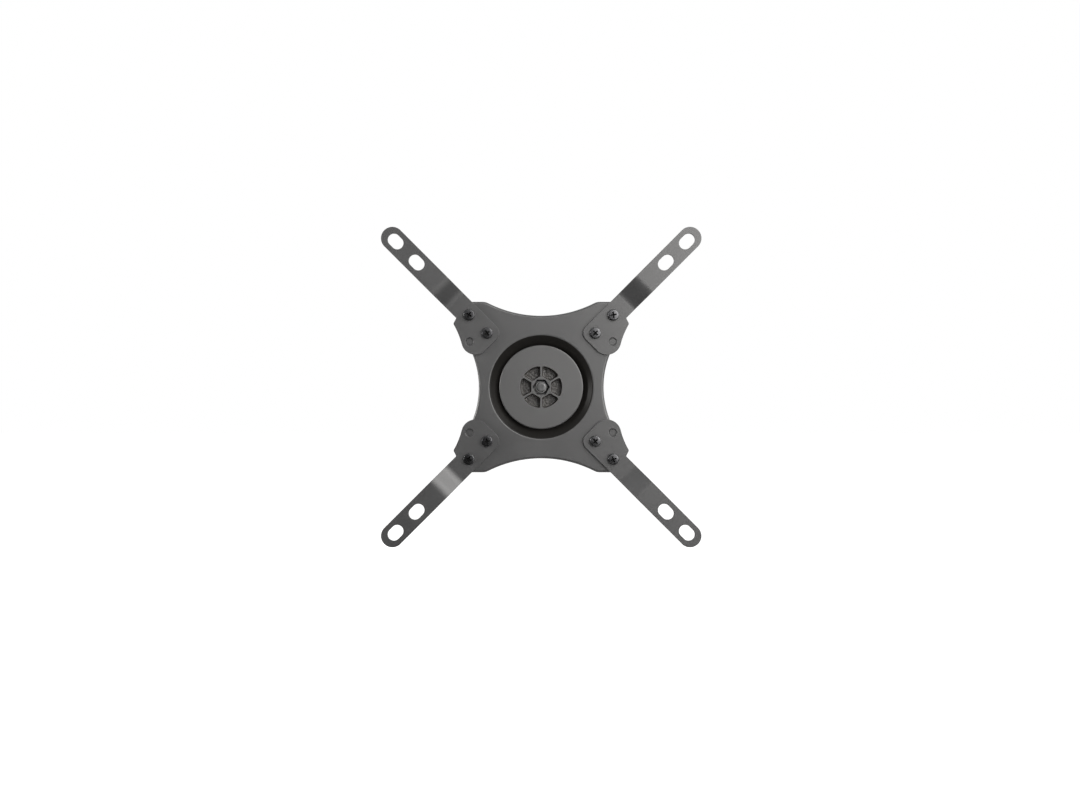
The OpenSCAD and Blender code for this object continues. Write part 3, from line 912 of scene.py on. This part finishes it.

# Front cap
# A zinc casting that clamps the bowl from the front: domed behind, flat in front, cored out by six pockets
# round a six-sided boss that keeps the nut from turning. Its face and rim are coated like the plate. The
# pockets' walls and floors are painted near black with a mottled grain, as painted shade in the pockets.

cap_r = 29.3
cap_face = 175.5
cap_ball = 49.25
cap_edge = 0.8
pocket_reach = 14.6
pocket_depth = 6.5
pocket_inner_corner = 1
pocket_outer_corner = 1.3
pocket_draft = 0.93
pocket_floor_edge = 0.6
face_edge = 0.33
web_half = 0.65
boss_r = 7.9
socket_r = 6
socket_floor = 166.1
# The pockets' walls and floors are painted near black as painted shade in the recesses, mottled by a rough
# grain of their own.
pocket_shade_and_grain = finish(
    "painted shade and rough grain in the pockets", (0.004, 0.0035, 0.003), (0.045, 0.04, 0.036), 420, 800, (0.24, 0.5), 0.45
)


def beside_web(across, distance, web_turn):
    """The point at a place across that lies a distance inside a web's middle line."""
    lean = math.radians(web_turn)
    return place(across, across * math.tan(lean) - distance / math.cos(lean), cap_face)


def pocket(bm, middle):
    """Draws one pocket's rim about a direction from the middle, and returns its edges."""
    before = set(bm.verts)
    outer_centre_r = pocket_reach - pocket_outer_corner
    spread = 30 - math.degrees(math.asin((web_half + pocket_outer_corner) / outer_centre_r))
    inner_x = boss_r * math.cos(math.radians(30))
    inner_centre = beside_web(inner_x + pocket_inner_corner, web_half + pocket_inner_corner, 30)
    lower_centre = Vector((inner_centre.x, inner_centre.y, -inner_centre.z))
    lean = place(-math.sin(math.radians(30)), math.cos(math.radians(30)), 0)
    last = begin(bm, turn_in_plane(pocket_reach, -spread, cap_face))
    last = curve(bm, last, place(0, 0, cap_face), 2 * spread)
    last = curve(bm, last, turn_in_plane(outer_centre_r, spread, cap_face), 120 - spread)
    last = straight(bm, last, inner_centre + lean * pocket_inner_corner)
    last = curve(bm, last, inner_centre, 60)
    last = straight(bm, last, lower_centre - Vector((pocket_inner_corner * mm, 0, 0)))
    last = curve(bm, last, lower_centre, 60)
    lower_outer = turn_in_plane(outer_centre_r, -spread, cap_face)
    outward = Vector((lean.x, 0, -lean.z))
    last = straight(bm, last, lower_outer + outward * pocket_outer_corner)
    curve(bm, last, lower_outer, 120 - spread)
    drawn = [v for v in bm.verts if v not in before]
    bmesh.ops.rotate(bm, verts=drawn, matrix=Matrix.Rotation(math.radians(middle), 3, toward_room))
    bmesh.ops.remove_doubles(bm, verts=drawn, dist=seam_gap)
    return edges_at([v for v in drawn if v.is_valid])


def sink(bm, rim, depth, draft):
    """Sinks walls from a rim to a depth, leaning in by a draft. Returns their faces and their lower edges."""
    walls = bmesh.ops.extrude_edge_only(bm, edges=rim)["geom"]
    low = points_of(walls)
    middle = sum((v.co for v in low), Vector()) / len(low)
    bmesh.ops.translate(bm, verts=low, vec=-toward_room * depth * mm)
    bmesh.ops.scale(bm, verts=low, vec=(draft, 1, draft), space=Matrix.Translation(-middle))
    faces = [g for g in walls if isinstance(g, bmesh.types.BMFace)]
    edges = [g for g in walls if isinstance(g, bmesh.types.BMEdge) and all(v in low for v in g.verts)]
    return faces, edges


bm = bmesh.new()
last = begin(bm, place(clamp_hole, 0, socket_floor))
last = straight(bm, last, on_ball(cap_ball, clamp_hole))
last = hollow(bm, last, cap_ball, cap_r)
last = straight(bm, last, place(cap_r, 0, cap_face - cap_edge))
curve(bm, last, place(cap_r - cap_edge, 0, cap_face - cap_edge), -90, upward)
spin_full(bm, toward_room, large_round_steps)
rims = [pocket(bm, middle) for middle in range(0, 360, 60)]
upright_hexagon = Matrix.Translation(place(0, 0, cap_face)) @ Matrix.Rotation(math.radians(90), 4, "X")
upright_hexagon = upright_hexagon @ Matrix.Rotation(math.radians(30), 4, "Z")
socket = bmesh.ops.create_circle(bm, segments=6, radius=socket_r * mm, matrix=upright_hexagon)["verts"]
socket_rim = edges_at(socket)
fill(bm, cap_face)
floor_edges = []
for rim in rims:
    walls, low_edges = sink(bm, rim, pocket_depth, pocket_draft)
    ground = bmesh.ops.contextual_create(bm, geom=low_edges)["faces"]
    floor_edges += low_edges
    # The walls and floors of each pocket take the painted shade.
    for f in walls + ground:
        f.material_index = 1
sink(bm, socket_rim, cap_face - socket_floor, 1)
fill(bm, socket_floor)
bmesh.ops.recalc_face_normals(bm, faces=bm.faces)
round_edges(bm, pocket_floor_edge, chosen=floor_edges)
rim_edges = [e for e in bm.edges if all(abs(v.co.y + cap_face * mm) < close_by for v in e.verts)]
round_edges(bm, face_edge, chosen=rim_edges)
finish_piece(bm, "coated_front_cap", [coated_cast, pocket_shade_and_grain], "knuckle", ["front_cap"])

# Clamp nut
# An M6 lock nut whose nylon ring is painted near black, as painted shade in the nut, zinc plated and dropped
# into the cap's six-sided socket. The bolt's end shows in it, and it draws the cap and the cup together on
# the bowl.

nut_turn = 33
clamp_nut_height = 6
bm = bmesh.new()
lock_nut(bm, clamp_across, clamp_nut_height, clamp_r + bore_play)
turn_by(bm, nut_turn, "Z")
stand(bm, place(0, 0, socket_floor), True)
# The nut's nylon ring takes the dark nylon, which here is painted shade.
finish_piece(bm, "zinc_clamp_nut", [zinc, dark_nylon_and_nut_shade], "knuckle", ["clamp_nut"])

# Arm screws
# Eight M4 pan head screws of steel, blackened in a bath, hold the arms to the plate. The heads are cold
# formed, and a punch leaves a cross in each.

black_oxide = finish(
    "black oxide", (0.045, 0.045, 0.048), (0.07, 0.07, 0.072), 300, 4200, (0.22, 0.34), 0.008, metallic=1
)
head_r = 3.9
head_height = 2.5
head_middle = ((0.15, 0), (1.5, 0.05))
head_underside = 0.1
head_crown = 42
head_flat_r = 3.35
head_side = 1.4
m4_r = 2
m4_pitch = 0.7
m4_thread = 10
screw_end = 170.8
cross_length = 4.6
cross_width = 1.2
cross_depth = 1.9
cross_draft = 0.35
cross_above = 0.1
cross_rim = 0.1
# The faces inside each cross are painted near black and rough: painted shade in the recess.
recess_shade = finish(
    "painted shade in the recess", (0.003, 0.003, 0.003), (0.006, 0.006, 0.006), 300, 4200,
    (0.6, 0.7), 0.01, shine=0.1,
)
screw_turns = {
    "inner": {"top_left": 32, "top_right": 45, "bottom_left": 12, "bottom_right": 40},
    "outer": {"top_left": 58, "top_right": 8, "bottom_left": 74, "bottom_right": 22},
}


def cross_punch():
    """The punch that leaves the cross: four arms that narrow towards the point."""
    bm = bmesh.new()
    half = cross_width / 2
    reach = cross_length / 2
    last = begin(bm, Vector((half, 0, half)) * mm)
    for quarter in range(4):
        turn = Matrix.Rotation(math.radians(-90 * quarter), 3, "Y")
        for x, z in ((half, reach), (-half, reach), (-half, half)):
            last = straight(bm, last, turn @ Vector((x, 0, z)) * mm)
    close_seams(bm)
    bmesh.ops.contextual_create(bm, geom=bm.edges[:])
    thicken(bm, cross_depth + cross_above, -toward_room)
    low = [v for v in bm.verts if v.co.y > cross_depth / 2 * mm]
    bmesh.ops.scale(bm, verts=low, vec=(cross_draft, 1, cross_draft))
    return bm


seat_depth = plate_face + sheet
crown_edge = head_height - head_crown + math.sqrt(head_crown ** 2 - head_flat_r ** 2)
bm = bmesh.new()
levels = [round_at(radius, head_height - drop) for radius, drop in head_middle]
levels.append(round_at(head_flat_r, crown_edge))
for degrees in range(15, 91, 15):
    out = math.sin(math.radians(degrees))
    down = 1 - math.cos(math.radians(degrees))
    radius = head_flat_r + (head_r - head_flat_r) * out
    levels.append(round_at(radius, crown_edge - (crown_edge - head_side) * down))
levels += [round_at(head_r, head_underside), round_at(head_r - head_underside, 0), round_at(m4_r, 0)]
levels += thread(m4_r, m4_pitch, screw_end - seat_depth, m4_thread)
stack(bm, levels)
stand(bm, Vector(), True)
pan_head = put_in_scene("pan head", as_mesh(bm, "pan head"))
bm = cross_punch()
move(bm, place(0, 0, head_height + cross_above))
punch = put_in_scene("punch", as_mesh(bm, "punch"))
press = pan_head.modifiers.new("cross", "BOOLEAN")
press.object = punch
press.operation = "DIFFERENCE"
press.solver = "EXACT"
bpy.context.view_layer.update()
with_cross = pan_head.evaluated_get(bpy.context.evaluated_depsgraph_get())
punched = bpy.data.meshes.new_from_object(with_cross)
# Faces inside the cross, below the crown's rim, take the painted shade.
for f in punched.polygons:
    from_axis = math.hypot(f.center.x, f.center.z) / mm
    crown_here = head_height - head_crown + math.sqrt(head_crown ** 2 - from_axis ** 2)
    if from_axis < cross_length / 2 and 0 < -f.center.y / mm < crown_here - cross_rim:
        f.material_index = 1
for tool in (pan_head, punch):
    bpy.data.objects.remove(tool)
for pattern, at in screw_patterns.items():
    for name, (side, end) in corners.items():
        bm = bmesh.new()
        bm.from_mesh(punched)
        turn_by(bm, screw_turns[pattern][name], toward_room)
        move(bm, place(side * at, end * at, seat_depth))
        node = f"screw_{pattern}_{name}"
        finish_piece(bm, f"black_{node}", [black_oxide, recess_shade], "head", [node])
bpy.data.meshes.remove(punched)

# Arm nuts
# Eight M4 nuts behind the plate, zinc plated, with chamfered corners on both faces. Each is run up a screw
# and holds an arm's foot on the plate.

m4_across = 7
m4_nut_height = 3.2
m4_bore = m4_r + bore_play
m4_flat_r = flat_share * m4_across / 2
for pattern, at in screw_patterns.items():
    for name, (side, end) in corners.items():
        bm = bmesh.new()
        levels = [round_at(m4_bore, 0), round_at(m4_flat_r, 0)]
        levels.append(six_sided(m4_across, m4_flat_r, 0, chamfer_slope))
        levels.append(six_sided(m4_across, m4_flat_r, m4_nut_height, -chamfer_slope))
        levels += [round_at(m4_flat_r, m4_nut_height), round_at(m4_bore, m4_nut_height)]
        stack(bm, levels, hollow=True)
        stand(bm, place(side * at, end * at, plate_face - sheet - m4_nut_height), True)
        node = f"nut_{pattern}_{name}"
        finish_piece(bm, f"zinc_{node}", [zinc], "head", [node])

# Studio
# A pale floor, a white room, a large soft light at the upper right, a small one at the left and one behind,
# two black cards that darken what the coat reflects, and a camera straight in front of the head.

floor_level = -320
floor_reach = 6
floor_grey = 0.86
floor_lift = 0.82
room_fill = 0.3


def matt(name, grey, roughness):
    """A plain material of the stage, with no gloss."""
    material = bpy.data.materials.new(name)
    material.use_nodes = True
    paint = material.node_tree.nodes["Principled BSDF"]
    paint.inputs["Base Color"].default_value = (grey, grey, grey, 1)
    paint.inputs["Roughness"].default_value = roughness
    paint.inputs["Specular IOR Level"].default_value = 0
    return material


floor_material = matt("pale floor", floor_grey, 0.9)
tree = floor_material.node_tree
paint = tree.nodes["Principled BSDF"]
seen = tree.nodes.new("ShaderNodeLightPath")
lift = tree.nodes.new("ShaderNodeMath")
lift.operation = "MULTIPLY"
lift.inputs[1].default_value = floor_lift
tree.links.new(seen.outputs["Is Camera Ray"], lift.inputs[0])
paint.inputs["Emission Color"].default_value = (1, 1, 1, 1)
tree.links.new(lift.outputs["Value"], paint.inputs["Emission Strength"])
bm = bmesh.new()
bmesh.ops.create_grid(bm, x_segments=1, y_segments=1, size=floor_reach)
move(bm, place(0, floor_level, 0))
floor_mesh = as_mesh(bm, "floor")
floor_mesh.materials.append(floor_material)
put_in_scene("floor", floor_mesh)

world = bpy.data.worlds.new("white room")
world.use_nodes = True
bpy.context.scene.world = world
tree = world.node_tree
air = tree.nodes["Background"]
air.inputs["Color"].default_value = (1, 1, 1, 1)
path = tree.nodes.new("ShaderNodeLightPath")
either = tree.nodes.new("ShaderNodeMath")
either.operation = "MAXIMUM"
all_three = tree.nodes.new("ShaderNodeMath")
all_three.operation = "MAXIMUM"
strength = tree.nodes.new("ShaderNodeMapRange")
strength.inputs["To Min"].default_value = room_fill
strength.inputs["To Max"].default_value = 1
tree.links.new(path.outputs["Is Camera Ray"], either.inputs[0])
tree.links.new(path.outputs["Is Glossy Ray"], either.inputs[1])
tree.links.new(either.outputs["Value"], all_three.inputs[0])
tree.links.new(path.outputs["Is Transmission Ray"], all_three.inputs[1])
tree.links.new(all_three.outputs["Value"], strength.inputs["Value"])
tree.links.new(strength.outputs["Result"], air.inputs["Strength"])


def soft_light(name, middle, aim, width, height, power):
    """A softbox that points at an aim and isn't seen by the camera."""
    light = bpy.data.lights.new(name, "AREA")
    light.shape = "RECTANGLE"
    light.size = width
    light.size_y = height
    light.energy = power
    light.color = (1, 0.985, 0.965)
    lamp = put_in_scene(name, light)
    lamp.location = middle
    lamp.rotation_euler = (Vector(aim) - Vector(middle)).to_track_quat("-Z", "Y").to_euler()
    lamp.visible_camera = False


soft_light("key softbox", (0.55, -0.8, 0.335), (0, -0.177, 0), 1.1, 1, 26)
soft_light("strip at the left", (-0.73, -0.41, 0.1), (0.033, -0.17, 0), 0.15, 0.3, 6)
soft_light("softbox behind", (-0.7, 0.6, 0.5), (0, -0.09, 0), 0.9, 0.9, 9)

flag_material = matt("black flag", 0.004, 1)


def black_flag(name, width, length, turn, middle):
    """A black card that only the coat's gloss sees: it casts no shadow and the camera looks through it."""
    bm = bmesh.new()
    bmesh.ops.create_grid(bm, x_segments=1, y_segments=1, size=0.5)
    bmesh.ops.scale(bm, verts=bm.verts, vec=(width, length, 1))
    turn_by(bm, turn, "X")
    move(bm, middle)
    mesh = as_mesh(bm, name)
    mesh.materials.append(flag_material)
    flag = put_in_scene(name, mesh)
    flag.visible_camera = False
    flag.visible_shadow = False
    flag.visible_diffuse = False


black_flag("flag at the left", 1, 1.15, 90, (-0.52, -0.95, -0.4))
black_flag("flag below", 1.8, 1.4, 0, (0, -0.9, -0.3))

camera_distance = 0.7
picture_width = 1080
lens_data = bpy.data.cameras.new("camera")
lens_data.lens = 33.53
lens_data.sensor_width = 36
lens_data.shift_x = -1.2 / picture_width
lens_data.shift_y = -17.9 / picture_width
camera = put_in_scene("camera", lens_data)
camera.location = (0, -plate_face * mm - camera_distance, 0)
camera.rotation_euler = (math.radians(90), 0, 0)
bpy.context.scene.camera = camera
bpy.context.scene.view_settings.view_transform = "Standard"
